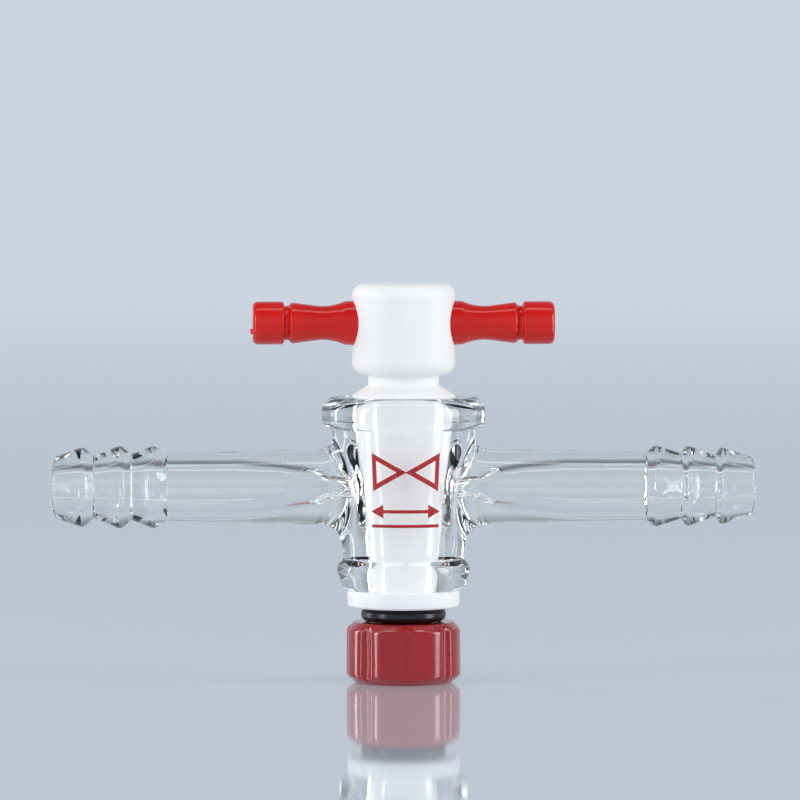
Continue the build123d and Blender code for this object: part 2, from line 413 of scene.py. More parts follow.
def nitrile_rubber(value):
    """Moulded nitrile rubber: near black, oily sheen on a smooth skin."""
    material, tree = new_material("nitrile_rubber_moulded")
    place = add(tree, "ShaderNodeTexCoord").outputs["Object"]
    # an uneven skin of 1.1 mm patches, drawn coarser than real
    skin = add(tree, "ShaderNodeTexNoise", {"Vector": place, "Scale": 0.9 / MM, "Detail": 3.0})
    bump = add(tree, "ShaderNodeBump", {"Height": skin.outputs[0], "Strength": 0.15, "Distance": 0.05 * MM})
    shader = add(tree, "ShaderNodeBsdfPrincipled", {
        "Base Color": opaque(value), "Roughness": 0.27, "IOR": 1.52, "Normal": bump.outputs[0],
    })
    add(tree, "ShaderNodeOutputMaterial", {"Surface": shader.outputs[0]})
    return material


def fired_enamel(value):
    """Screen-printed enamel fired on the glass: dense red, slightly matt, with a few pale pinholes."""
    material, tree = new_material("fired_enamel_print")
    place = add(tree, "ShaderNodeTexCoord").outputs["Object"]
    # pinholes of 0.26 mm, where real ones are under 0.1 mm: drawn coarser so that they show
    speck = add(tree, "ShaderNodeTexNoise", {"Vector": place, "Scale": 3.8 / MM, "Detail": 2.0})
    ramp = add(tree, "ShaderNodeValToRGB", {0: speck.outputs[0]})
    ramp.color_ramp.elements[0].position = 0.24
    ramp.color_ramp.elements[0].color = (0.7, 0.5, 0.5, 1)
    ramp.color_ramp.elements[1].position = 0.36
    ramp.color_ramp.elements[1].color = opaque(value)
    shader = add(tree, "ShaderNodeBsdfPrincipled", {
        "Base Color": ramp.outputs[0], "Roughness": 0.42, "IOR": 1.5,
    })
    add(tree, "ShaderNodeOutputMaterial", {"Surface": shader.outputs[0]})
    return material


# ---------------------------------------------------------------- geometry trees

def rule_tree(name, sizes):
    """A geometry tree with named inputs for its sizes, and the point's place, angle and radius to use."""
    tree = bpy.data.node_groups.new(name, "GeometryNodeTree")
    tree.interface.new_socket("Geometry", in_out="INPUT", socket_type="NodeSocketGeometry")
    for size in sizes:
        tree.interface.new_socket(size, in_out="INPUT", socket_type="NodeSocketFloat")
    tree.interface.new_socket("Material", in_out="INPUT", socket_type="NodeSocketMaterial")
    tree.interface.new_socket("Geometry", in_out="OUTPUT", socket_type="NodeSocketGeometry")
    entry = add(tree, "NodeGroupInput")
    split = add(tree, "ShaderNodeSeparateXYZ", {0: add(tree, "GeometryNodeInputPosition").outputs[0]})
    x, y, z = split.outputs
    angle = add(tree, "ShaderNodeMath", (y, x), operation="ARCTAN2").outputs[0]
    flat = add(tree, "ShaderNodeCombineXYZ", (x, y))
    radius = add(tree, "ShaderNodeVectorMath", {0: flat.outputs[0]}, operation="LENGTH").outputs["Value"]
    return tree, entry, (x, y, z), angle, radius


def end_tree(tree, entry, position):
    """Moves the points, then ends in Realize Instances and Set Material."""
    moved = add(tree, "GeometryNodeSetPosition",
                {"Geometry": entry.outputs["Geometry"], "Position": position})
    real = add(tree, "GeometryNodeRealizeInstances", {"Geometry": moved.outputs[0]})
    painted = add(tree, "GeometryNodeSetMaterial",
                  {"Geometry": real.outputs[0], "Material": entry.outputs["Material"]})
    add(tree, "NodeGroupOutput", {0: painted.outputs[0]})
    return tree


def thread_tree():
    """Cuts a right-hand thread where points carry the "thread" attribute, and trims it to a flat."""
    tree, entry, (x, y, z), angle, radius = rule_tree("screw_thread", ("Pitch", "Depth", "Flat"))
    turns = add(tree, "ShaderNodeMath", (angle, 2 * pi), operation="DIVIDE").outputs[0]
    climb = add(tree, "ShaderNodeMath", (z, entry.outputs["Pitch"]), operation="DIVIDE").outputs[0]
    lag = add(tree, "ShaderNodeMath", (climb, turns), operation="SUBTRACT").outputs[0]
    phase = add(tree, "ShaderNodeMath", (lag,), operation="FRACT").outputs[0]
    centred = add(tree, "ShaderNodeMath", (phase, 0.5), operation="SUBTRACT").outputs[0]
    away = add(tree, "ShaderNodeMath", (centred,), operation="ABSOLUTE").outputs[0]
    slope = add(tree, "ShaderNodeMath", (away, 2.0), operation="MULTIPLY").outputs[0]
    root = add(tree, "ShaderNodeMapRange", {"Value": slope, "From Min": 0.22, "From Max": 0.88,
                                            "To Min": 1.0, "To Max": 0.0}).outputs[0]
    mask = add(tree, "GeometryNodeInputNamedAttribute", {"Name": "thread"}, data_type="FLOAT").outputs[0]
    deep = add(tree, "ShaderNodeMath", (root, entry.outputs["Depth"]), operation="MULTIPLY").outputs[0]
    cut = add(tree, "ShaderNodeMath", (deep, mask), operation="MULTIPLY").outputs[0]
    left = add(tree, "ShaderNodeMath", (radius, cut), operation="SUBTRACT").outputs[0]
    scale = add(tree, "ShaderNodeMath", (left, radius), operation="DIVIDE").outputs[0]
    cut_x = add(tree, "ShaderNodeMath", (x, scale), operation="MULTIPLY").outputs[0]
    cut_y = add(tree, "ShaderNodeMath", (y, scale), operation="MULTIPLY").outputs[0]
    flat_y = add(tree, "ShaderNodeMath", (cut_y, entry.outputs["Flat"]), operation="MINIMUM").outputs[0]
    kept = add(tree, "ShaderNodeMix", {"Factor": mask, "A": y, "B": flat_y}, data_type="FLOAT").outputs[0]
    place = add(tree, "ShaderNodeCombineXYZ", (cut_x, kept, z))
    return end_tree(tree, entry, place.outputs[0])


def groove_tree():
    """Presses finger grooves into a rim: the radius is held under a limit that dips at each groove."""
    sizes = ("Rim", "Grooves", "Depth", "Width", "Turn")
    tree, entry, (x, y, z), angle, radius = rule_tree("finger_grooves", sizes)
    step = add(tree, "ShaderNodeMath", (2 * pi, entry.outputs["Grooves"]), operation="DIVIDE").outputs[0]
    half_step = add(tree, "ShaderNodeMath", (step, 2.0), operation="DIVIDE").outputs[0]
    turned = add(tree, "ShaderNodeMath", (angle, entry.outputs["Turn"]), operation="SUBTRACT").outputs[0]
    away = add(tree, "ShaderNodeMath", (turned, half_step), operation="PINGPONG").outputs[0]
    span = add(tree, "ShaderNodeMath", (away, entry.outputs["Rim"]), operation="MULTIPLY").outputs[0]
    arc = add(tree, "ShaderNodeMath", (span, entry.outputs["Width"]), operation="DIVIDE").outputs[0]
    squared = add(tree, "ShaderNodeMath", (arc, arc), operation="MULTIPLY").outputs[0]
    fall = add(tree, "ShaderNodeMath", (squared, -1.0), operation="MULTIPLY").outputs[0]
    dip = add(tree, "ShaderNodeMath", (fall,), operation="EXPONENT").outputs[0]
    depth = add(tree, "ShaderNodeMath", (dip, entry.outputs["Depth"]), operation="MULTIPLY").outputs[0]
    limit = add(tree, "ShaderNodeMath", (entry.outputs["Rim"], depth), operation="SUBTRACT").outputs[0]
    held = add(tree, "ShaderNodeMath", (radius, limit, 0.25 * MM), operation="SMOOTH_MIN").outputs[0]
    scale = add(tree, "ShaderNodeMath", (held, radius), operation="DIVIDE").outputs[0]
    inner = add(tree, "ShaderNodeMath", (entry.outputs["Rim"], 0.7), operation="MULTIPLY").outputs[0]
    outside = add(tree, "ShaderNodeMath", (radius, inner), operation="GREATER_THAN").outputs[0]
    kept = add(tree, "ShaderNodeMix", {"Factor": outside, "A": 1.0, "B": scale}, data_type="FLOAT").outputs[0]
    held_x = add(tree, "ShaderNodeMath", (x, kept), operation="MULTIPLY").outputs[0]
    held_y = add(tree, "ShaderNodeMath", (y, kept), operation="MULTIPLY").outputs[0]
    place = add(tree, "ShaderNodeCombineXYZ", (held_x, held_y, z))
    return end_tree(tree, entry, place.outputs[0])


def ruled(mesh, tree, material, **sizes):
    """A mesh after a geometry tree has shaped it, as a plain mesh with the modifier gone."""
    carrier = bpy.data.objects.new("carrier", mesh)
    bpy.context.scene.collection.objects.link(carrier)
    modifier = carrier.modifiers.new(tree.name, "NODES")
    modifier.node_group = tree
    for socket in tree.interface.items_tree:
        if socket.in_out == "INPUT" and socket.name in sizes:
            modifier[socket.identifier] = sizes[socket.name]
        if socket.in_out == "INPUT" and socket.name == "Material":
            modifier[socket.identifier] = material
    depsgraph = bpy.context.evaluated_depsgraph_get()
    shaped = bpy.data.meshes.new_from_object(carrier.evaluated_get(depsgraph))
    bpy.data.objects.remove(carrier)
    shaped.name = mesh.name
    return shaped


def weigh(mesh, name, values):
    """Stores one number for each point of a mesh, for a geometry tree to read."""
    mesh.attributes.new(name, "FLOAT", "POINT").data.foreach_set("value", np.asarray(values, np.float32))


def stand(mesh, name, body, slot, material, *nodes):
    """Makes the finished piece, ties it to its body and hides the CAD nodes it stands for; the slot is not
    used.
    """
    mesh.materials.clear()
    mesh.materials.append(material)
    piece = bpy.data.objects.new(name, mesh)
    bpy.context.scene.collection.objects.link(piece)
    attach(piece, body)
    if nodes:
        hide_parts(*nodes)
    return piece


# ---------------------------------------------------------------- glass body

# Barbs from the barrel outwards, as (distance from the key's axis, radius, rounding)
BARBS = {
    LEFT: ((33.7, 4.78, 0.35), (35.6, 5.97, 0.9), (38.8, 4.67, 0.5), (40.2, 6.04, 0.9), (44.1, 4.47, 0.5),
           (45.6, 5.77, 0.9), (50.0, 4.3, 0.75)),
    RIGHT: ((34.6, 4.82, 0.35), (35.9, 5.9, 0.8), (39.6, 4.7, 0.4), (40.5, 5.85, 0.7), (44.5, 4.37, 0.35),
            (45.3, 5.57, 0.6), (50.0, 4.15, 0.7)),
}
PASSAGE = ((23.0, 3.3, 12), (35.0, 3.3, 14))     # the wide stretch of an arm's bore
TIP_BORE = 2.55
WIDE_WINDOW, NARROW_WINDOW = 17, 5               # half widths of the arms' openings, in 96ths of a turn
WIDE_ROWS, NARROW_ROWS = 14, 38                  # 2 x (17 - 5) = 38 - 14, so both rims hold as many points
JOINT_X = 13.6                                   # where the joint's blend has run out into the arm


class Barrel:
    """The rules of the glass: tapered bore, outside cone, arms and the blends between them."""

    def __init__(self, glass):
        self.glass = glass
        self.arm_slope = (glass.arm_root - glass.arm_end) / MM / (REACH * 0.68 - 9.4)

    def bore(self, z):
        return self.glass.bore_end / MM + self.glass.taper * (z - MOUTH_Z)

    def wall(self, z):
        return self.glass.waist / MM + self.glass.flare * (z - MOUTH_Z - 5.2)

    def arm(self, x):
        return self.glass.arm_root / MM - self.arm_slope * (abs(x) - 9.4)

    def outside(self, p):
        rise = np.clip((p[..., 2] - ARM_Z) / 11 + 0.5, 0, 1)
        reach = (self.glass.fillet_low * (1 - rise) + self.glass.fillet_top * rise) / MM
        barrel = from_z_axis(p) - self.wall(p[..., 2])
        arm = from_arm_axis(p, ARM_Z) - self.arm(p[..., 0])
        return smooth_min(barrel, arm, reach)

    def inside(self, p):
        port = self.glass.port / MM
        return smooth_min(from_z_axis(p) - self.bore(p[..., 2]), from_arm_axis(p, ARM_Z) - port, 0.3)


def glass_rows(rule):
    """Rows of the closed barrel outline, and its outer and inner window rows."""
    outer_low, outer_high = ARM_Z - 8.9, ARM_Z + 8.0
    inner_low, inner_high = ARM_Z - 1.9, ARM_Z + 1.9
    flange_low = TOP_Z - 4.5
    bead_top = MOUTH_Z + 4.5
    over = outline([
        (rule.bore(inner_high), inner_high), (rule.bore(TOP_Z), TOP_Z, 0.3), (FLANGE_R, TOP_Z, 2.1),
        (FLANGE_R - 0.02, flange_low, 1.25), (rule.wall(flange_low), flange_low, 0.2),
        (rule.wall(outer_high), outer_high),
    ])
    outer = [(rule.wall(z), z) for z in np.linspace(outer_high, outer_low, WIDE_ROWS + 1)]
    under = outline([
        (rule.wall(outer_low), outer_low), (rule.wall(bead_top), bead_top, 0.3), (9.75, MOUTH_Z + 3.3, 1.7),
        (8.55, MOUTH_Z, 1.0), (rule.bore(MOUTH_Z), MOUTH_Z, 0.3), (rule.bore(inner_low), inner_low),
    ])
    inner = [(rule.bore(z), z) for z in np.linspace(inner_low, inner_high, NARROW_ROWS + 1)]
    rows = over[:-1] + outer + under[1:-1] + inner[:-1]
    outer_first = len(over) - 1
    inner_first = outer_first + len(outer) + len(under) - 2
    return rows, (outer_first, outer_first + WIDE_ROWS), (inner_first, inner_first + NARROW_ROWS)


def arm_profile(rule, side):
    """An arm from the joint along the outside to the tip, and back along the bore to the port."""
    port = rule.glass.port / MM
    corners = [(JOINT_X, rule.arm(JOINT_X)), *BARBS[side], (50.0, TIP_BORE, 0.5)]
    corners += [*reversed(PASSAGE), (17.0, 2.75, 14), (12.6, 2.1, 4), (10.3, port, 1.2), (7.2, port)]
    return outline(corners, 0.9)


def glass_mesh(glass):
    """Barrel and arms as one closed surface: every ring lies on the blended wall."""
    rule = Barrel(glass)
    skin = Skin()
    rows, outer, inner = glass_rows(rule)
    grid = skin.lathe(rows, glass.columns)
    windows = {}
    for side in (LEFT, RIGHT):
        wide = Window(*outer, glass.columns * WIDE_WINDOW // 96, side)
        narrow = Window(*inner, glass.columns * NARROW_WINDOW // 96, side)
        windows[side] = (wide, narrow)
    skin.skin_rows(grid, True, [w for pair in windows.values() for w in pair])
    for side, (wide, narrow) in windows.items():
        rim = wide.rim(skin, grid, ARM_Z)
        port = narrow.rim(skin, grid, ARM_Z)
        if len(rim) != len(port):
            raise ValueError(f"rims differ: {len(rim)} and {len(port)}")
        profile = arm_profile(rule, side)
        rings = [port_rings(side * x, r, ARM_Z, len(rim)) for x, r in profile]
        outside = skin.grow(rim, rings[0], rule.outside, 26)
        within = skin.grow(port, rings[-1], rule.inside, 8)
        along = [skin.add(r) for r in rings[1:-1]]
        skin.skin_rings(outside + along + within[::-1])
    mesh = skin.mesh("glass_body")
    wave(mesh, rule, glass.wobble)
    return mesh


def wave(mesh, rule, height):
    """Lifts the outside wall by the slow waves of flame-worked glass, never outwards."""
    count = len(mesh.vertices)
    place, normal = np.zeros(count * 3), np.zeros(count * 3)
    mesh.vertices.foreach_get("co", place)
    mesh.vertices.foreach_get("normal", normal)
    place, normal = place.reshape(-1, 3), normal.reshape(-1, 3)
    p = place / MM
    along = np.sin(p[:, 0] * 0.9 + 2.1 * np.sin(p[:, 2] * 0.31))
    ripple = along * np.sin(p[:, 2] * 0.8 + 1.3 * p[:, 1] * 0.4)
    ripple += 0.6 * np.sin(p[:, 0] * 0.37 + 1.7) * np.cos(p[:, 1] * 0.9 + p[:, 2] * 0.5)
    off_bore = np.clip(from_z_axis(p) - rule.bore(p[:, 2]) - 0.8, 0, 1)
    place += normal * (off_bore * (ripple - 1.6) * height * 0.5)[:, None]
    mesh.vertices.foreach_set("co", place.ravel())
    mesh.update()


def strokes():
    """The valve sign and its flow arrow as strips in mm: (from, to, lower edge, upper edge)."""
    wide, tall, line = 4.9, 2.7, 0.62
    band, lap = line * 1.15, 0.025       # strips overlap a little, so that each stays a closed body
    edge = lambda u: tall * abs(u) / wide
    sign = [
        (-wide, wide, lambda u: max(-lap, edge(u) - band), lambda u: edge(u) + 2 * lap),
        (-wide, wide, lambda u: -edge(u) - 2 * lap, lambda u: min(lap, band - edge(u))),
        (-wide, line - wide, lambda u: band - edge(u) - lap, lambda u: edge(u) - band + lap),
        (wide - line, wide, lambda u: band - edge(u) - lap, lambda u: edge(u) - band + lap),
    ]
    drop, reach, head = -5.6, 5.3, 1.9
    spear = lambda u: 0.95 * (reach - abs(u)) / head + lap
    arrow = [
        (head - reach, reach - head, lambda u: drop - 0.24, lambda u: drop + 0.24),
        (-reach, head - reach, lambda u: drop - spear(u), lambda u: drop + spear(u)),
        (reach - head, reach, lambda u: drop - spear(u), lambda u: drop + spear(u)),
    ]
    bar = [(-reach, reach, lambda u: drop - 2.3, lambda u: drop - 1.85)]
    return sign + arrow + bar


def mark_mesh(glass):
    """The sign wrapped on the front of the barrel, as thick as fired enamel."""
    rule = Barrel(glass)
    centre_z = ARM_Z + 2.6
    shape = bmesh.new()
    for start, end, lower, upper in strokes():
        count = ceil((end - start) / 0.2)
        columns = []
        for i in range(count + 1):
            u = start + (end - start) * i / count
            column = []
            for v in (lower(u), upper(u)):
                for lift in (0.0, 0.035):
                    z = centre_z + v
                    radius = rule.wall(z) + lift
                    turn = u / rule.wall(centre_z)
                    column.append(shape.verts.new(Vector((radius * sin(turn), -radius * cos(turn), z)) * MM))
            columns.append((column[0], column[1], column[3], column[2]))
        for a, b in zip(columns, columns[1:]):
            for i in range(4):
                j = (i + 1) % 4
                shape.faces.new((a[i], a[j], b[j], b[i]))
        shape.faces.new(columns[0][::-1])
        shape.faces.new(columns[-1])
    bmesh.ops.recalc_face_normals(shape, faces=shape.faces)
    mesh = bpy.data.meshes.new("valve_mark")
    shape.to_mesh(mesh)
    shape.free()
    return mesh


# ---------------------------------------------------------------- key, washer and ring

def capped_lathe(rows, columns):
    """A turned solid whose first and last rows are flat ends, closed with one face each."""
    skin = Skin()
    grid = skin.lathe(rows, columns)
    skin.faces += [tuple(grid[0][::-1]), tuple(grid[-1])]
    return skin, grid


def key_mesh(key, glass, material):
    """The key from the tail's end to the head, with its cross bore and the hole for the bar."""
    rule = Barrel(glass)
    tail_r, tail_z, head_r, top = TAIL_R, low("key", "z"), high("key", "x"), high("key", "z")
    fit, neck, edge = key.fit / MM, key.neck / MM, key.round / MM
    cone_z, cone_top = MOUTH_Z + CONE_LOW, TOP_Z + CONE_OUT
    neck_z, head_z = cone_top + NECK_RISE, cone_top + HEAD_RISE
    port, hole = glass.port / MM, high("handle", "z") - HANDLE_Z + BAR_FIT
    cone = lambda z: rule.bore(z) - fit
    tail = [(tail_r, z) for z in np.arange(tail_z + 0.7, cone_z - 0.35, 0.07)]
    rows = [(1.0, tail_z), (2.2, tail_z), (3.3, tail_z)] + tail
    thread_rows = range(3, len(rows))
    rows += outline([(tail_r, cone_z - 0.3), (tail_r, cone_z, 0.15), (cone(cone_z), cone_z, 0.12),
                     (cone(ARM_Z - BORE_SPAN), ARM_Z - BORE_SPAN)])[:-1]
    port_first = len(rows)
    rows += [(cone(z), z) for z in np.linspace(ARM_Z - BORE_SPAN, ARM_Z + BORE_SPAN, 29)]
    rows += outline([(cone(ARM_Z + BORE_SPAN), ARM_Z + BORE_SPAN), (cone(cone_top), cone_top, 0.12),
                     (neck, neck_z, 0.35),
                     (neck, head_z, 0.3), (head_r, head_z, edge), (head_r, HANDLE_Z - BAR_SPAN)])[1:-1]
    hole_first = len(rows)
    rows += [(head_r, z) for z in np.linspace(HANDLE_Z - BAR_SPAN, HANDLE_Z + BAR_SPAN, 27)]
    rows += outline([(head_r, HANDLE_Z + BAR_SPAN), (head_r, top, edge), (1.0, top)])[1:]
    skin, grid = capped_lathe(rows, key.columns)
    # each cut: first row, rows, half width, axis height, radius, outside, softening, stations, rings
    cuts = (
        (port_first, 28, key.columns * BORE_WINDOW // 128, ARM_Z, port, cone, 0.3, (4.4, 2.0, -2.0, -4.4), 6),
        (hole_first, 26, key.columns * BAR_WINDOW // 128, HANDLE_Z, hole, lambda z: head_r, 0.35,
         (5.6, 2.5, -2.5, -5.6), 8),
    )
    windows = []
    for first, count, half, axis_z, radius, solid, soften, stations, rings in cuts:
        pair = [Window(first, first + count, half, side) for side in (RIGHT, LEFT)]
        windows += pair
        field = lambda p, s=solid, a=axis_z, r=radius, k=soften: smooth_min(
            s(p[..., 2]) - from_z_axis(p), from_arm_axis(p, a) - r, k
        )
        rims = [w.rim(skin, grid, axis_z) for w in pair]
        ends = [port_rings(x, radius, axis_z, len(rims[0])) for x in stations]
        one = skin.grow(rims[0], ends[0], field, rings)
        other = skin.grow(rims[1], ends[-1], field, rings)
        skin.skin_rings(one + [skin.add(e) for e in ends[1:-1]] + other[::-1])
    skin.skin_rows(grid, False, windows)
    mesh = skin.mesh("key")
    weight = np.zeros(len(mesh.vertices))
    for row in thread_rows:
        lead = min(1.0, (rows[row][1] - tail_z - 0.3) / 0.8, (cone_z - rows[row][1]) / 0.5)
        weight[grid[row]] = max(lead, 0.0)
    weigh(mesh, "thread", weight)
    return ruled(mesh, thread_tree(), material, Pitch=PITCH * MM, Depth=key.thread_depth, Flat=key.flat)


def washer_mesh():
    """A cut ring with softened edges and a D-shaped hole, as rings of points that share their angles."""
    bottom, top, rim = low("washer", "z"), high("washer", "z"), high("washer", "x")
    columns = 144
    corners = [(5.5, bottom), (rim, bottom, 0.5), (rim, top, 0.22), (5.5, top)]
    rows = outline(corners, 1.2)
    skin = Skin()
    grid = skin.lathe(rows, columns)
    turns = 2 * pi * np.arange(columns) / columns
    with np.errstate(divide="ignore"):
        limit = np.where(np.sin(turns) > 0.05, WASHER_FLAT / np.maximum(np.sin(turns), 0.05), 99)
    inner = np.minimum(WASHER_HOLE, limit)
    for grow, z in ((0.18, top), (0.0, top - 0.18), (0.0, bottom + 0.18), (0.18, bottom)):
        r = inner + grow
        grid.append(skin.add(np.stack([r * np.cos(turns), r * np.sin(turns), np.full(columns, z)], -1)))
    skin.skin_rows(grid, True)
    return skin.mesh("washer")


def ring_mesh():
    """The O-ring with the thin flash line that its mould leaves round the middle."""
    bottom, top, outer = low("o_ring", "z"), high("o_ring", "z"), high("o_ring", "x")
    section = (top - bottom) / 2
    centre_r, centre_z = outer - section, (top + bottom) / 2
    rows = []
    for i in range(48):
        angle = 2 * pi * i / 48
        lift = 0.0 if i % 24 else -0.035
        rows.append((centre_r + (section + lift) * cos(angle), centre_z + (section + lift) * sin(angle)))
    skin = Skin()
    grid = skin.lathe(rows, 144)
    skin.skin_rows(grid, True)
    return skin.mesh("o_ring")


# ---------------------------------------------------------------- handle and nut

def handle_mesh(grip):
    """The bar: knobs, waists and the parting ridge, with the gate's nub on the left end."""
    reach, flare = high("handle", "x"), high("handle", "z") - HANDLE_Z
    # from the middle: the straight in the key's hole, the waist, the groove and the knob
    half = outline([
        (0.0, flare), (8.35, flare, 1.2), (10.6, 2.27, 7.0), (15.9, 2.97, 0.4), (16.45, 2.48, 0.1),
        (16.9, 2.48, 0.1), (17.15, 3.1, 0.3), (reach, 3.1, 0.75), (reach, 0.5),
    ], 0.5)
    rows = [(-x, r) for x, r in reversed(half)] + half[1:]
    columns = grip.columns
    turns = 2 * pi * np.arange(columns) / columns
    skin = Skin()
    parting = radians(180 + 20)
    ridge = np.zeros(columns)
    for line in (parting, parting + pi):
        away = np.abs((turns - line + pi) % (2 * pi) - pi)
        ridge += np.exp(-(away / radians(2.6)) ** 2)
    grid = []
    for x, r in rows:
        lift = grip.parting / MM if r > 2.0 and abs(x) < reach - 0.2 and abs(x) > 7.6 else 0.0
        rr = r + (ridge - 0.3) * lift
        ring = [np.full(columns, x), rr * np.cos(turns), HANDLE_Z + rr * np.sin(turns)]
        grid.append(skin.add(np.stack(ring, -1)))
    skin.skin_rows(grid, False)
    skin.faces += [tuple(grid[0][::-1]), tuple(grid[-1])]
    angles = 2 * pi * np.arange(20) / 20
    rings = []
    for r, x in ((0.42, -0.2), (0.42, 0.03), (0.4, 0.18), (0.28, 0.3), (0.1, 0.33)):
        nub = [np.full(20, -reach - x), r * np.cos(angles), HANDLE_Z - 1.2 + r * np.sin(angles)]
        rings.append(skin.add(np.stack(nub, -1)))
    skin.skin_rings(rings)
    skin.faces += [tuple(rings[0][::-1]), tuple(rings[-1])]
    return skin.mesh("handle")


def nut_mesh(grip, key, material):
    """The nut: a turned blank, then the thread and the finger grooves by their rules."""
    bottom, top = low("nut", "z"), high("nut", "z")
    rim = grip.nut_radius / MM
    bore = TAIL_R + grip.clearance / MM
    # from the bottom face up the wall, which leans in a little, to the top face
    outside = outline([
        (bore + 0.55, bottom), (rim - 1.4, bottom, 0.35), (rim, bottom + 1.1, 0.9), (rim, bottom + 3.5, 40),
        (rim - 0.1, top - 1.05, 0.7), (rim - 1.1, top, 0.35), (bore + 0.55, top),
    ], 0.6)
    hole = [(bore, z) for z in np.arange(top - 0.55, bottom + 0.5, -0.08)]
    rows = outside + hole
    skin = Skin()
    grid = skin.lathe(rows, 240)
    skin.skin_rows(grid, True)
    mesh = skin.mesh("nut")
    weight = np.zeros(len(mesh.vertices))
    for ring, (_, z) in zip(grid[len(outside):], hole):
        weight[ring] = max(0.0, min(1.0, (top - 0.5 - z) / 0.7, (z - bottom - 0.5) / 0.7))
    weigh(mesh, "thread", weight)
    cut = ruled(mesh, thread_tree(), material, Pitch=PITCH * MM, Depth=key.thread_depth, Flat=1.0)
    return ruled(cut, groove_tree(), material, Rim=grip.nut_radius, Grooves=float(grip.grooves),
                 Depth=grip.groove_depth, Width=grip.groove_width, Turn=grip.groove_turn - pi / 2)


# ---------------------------------------------------------------- operators

class STOPCOCK_OT_glass(bpy.types.Operator):
    """Build the glass body with its bore and both barbed arms"""
    bl_idname = "stopcock.glass"
    bl_label = "Glass Body"

    def execute(self, context):
        glass = context.scene.stopcock_glass
        clear = borosilicate_glass()
        body = stand(glass_mesh(glass), "glass_body_blown", "barrel", "glass", clear, "glass_body")
        body.visible_shadow = False     # clear glass lets the light through to the key inside
        body.visible_diffuse = False
        return {"FINISHED"}


class STOPCOCK_OT_mark(bpy.types.Operator):
    """Print the valve sign on the front of the barrel"""
    bl_idname = "stopcock.mark"
    bl_label = "Valve Mark"

    def execute(self, context):
        glass = context.scene.stopcock_glass
        stand(mark_mesh(glass), "valve_mark", "barrel", "handle", fired_enamel(tuple(glass.mark_colour)))
        return {"FINISHED"}


class STOPCOCK_OT_key(bpy.types.Operator):
    """Turn the key with its threaded tail"""
    bl_idname = "stopcock.key"
    bl_label = "Key"

    def execute(self, context):
        key, glass = context.scene.stopcock_key, context.scene.stopcock_glass
        ptfe = turned_ptfe("ptfe_turned", tuple(key.body_colour), 0.22)
        stand(key_mesh(key, glass, ptfe), "key_turned", "key", "key", ptfe, "key")
        return {"FINISHED"}


class STOPCOCK_OT_seals(bpy.types.Operator):
    """Cut the washer and mould the O-ring"""
    bl_idname = "stopcock.seals"
    bl_label = "Washer and O-Ring"

    def execute(self, context):
        key, grip = context.scene.stopcock_key, context.scene.stopcock_grip
        cut = turned_ptfe("ptfe_cut_sheet", tuple(key.washer_colour), 0.4)
        stand(washer_mesh(), "washer_cut", "retainer", "washer", cut, "washer")
        rubber = nitrile_rubber(tuple(grip.ring_colour))
        stand(ring_mesh(), "o_ring_moulded", "retainer", "o_ring", rubber, "o_ring")
        return {"FINISHED"}


class STOPCOCK_OT_handle(bpy.types.Operator):
    """Mould the bar handle"""
    bl_idname = "stopcock.handle"
    bl_label = "Handle"

    def execute(self, context):
        grip = context.scene.stopcock_grip
        red = moulded_plastic("polypropylene_moulded_red", tuple(grip.handle_colour), 0.24, 0.25, 0.4)
        stand(handle_mesh(grip), "handle_moulded", "key", "handle", red, "handle")
        return {"FINISHED"}


class STOPCOCK_OT_nut(bpy.types.Operator):
    """Mould the retaining nut with its grooves and thread"""
    bl_idname = "stopcock.nut"
    bl_label = "Nut"

    def execute(self, context):
        grip, key = context.scene.stopcock_grip, context.scene.stopcock_key
        crimson = moulded_plastic("polyamide_moulded_crimson", tuple(grip.nut_colour), 0.24, 0.3, 0.9)
        stand(nut_mesh(grip, key, crimson), "nut_moulded", "nut", "nut", crimson, "nut")
        return {"FINISHED"}


AIM = (-0.0005, 0, 0.0403)               # where the camera and every lamp point, in metres
FLOOR_R, FLOOR_FADE = 1.6, 0.3           # the floor's edge, and where it begins to fade, in metres
LAMPS = (                                # name, place, width, height, watts, and whether it is mirrored
    ("left_strip", (-0.71, -0.38, 0.22), 0.12, 0.6, 2.4, True),
    ("right_box", (0.77, -0.22, 0.22), 0.26, 0.6, 3.3, True),
    ("rim_strip", (-0.74, 0.3, 0.22), 0.09, 0.6, 1.6, True),
    ("front_box", (-0.1, -1.1, 0.55), 1.1, 0.8, 2.0, False),
    ("top_strip", (0.0, -0.12, 0.9), 1.4, 0.12, 2.0, True),
)


def lamp(name, place, width, height, power, mirrored):
    """A soft box that the camera doesn't see. One that isn't mirrored leaves no reflection either."""
    data = bpy.data.lights.new(name, "AREA")
    data.shape = "RECTANGLE"
    data.size, data.size_y, data.energy = width, height, power
    data.color = (1.0, 0.975, 0.94)
    box = bpy.data.objects.new(name, data)
    box.location = place
    box.rotation_mode = "QUATERNION"
    box.rotation_quaternion = (Vector(AIM) - Vector(place)).to_track_quat("-Z", "Y")
    box.visible_camera = False
    box.visible_glossy = mirrored
    bpy.context.scene.collection.objects.link(box)


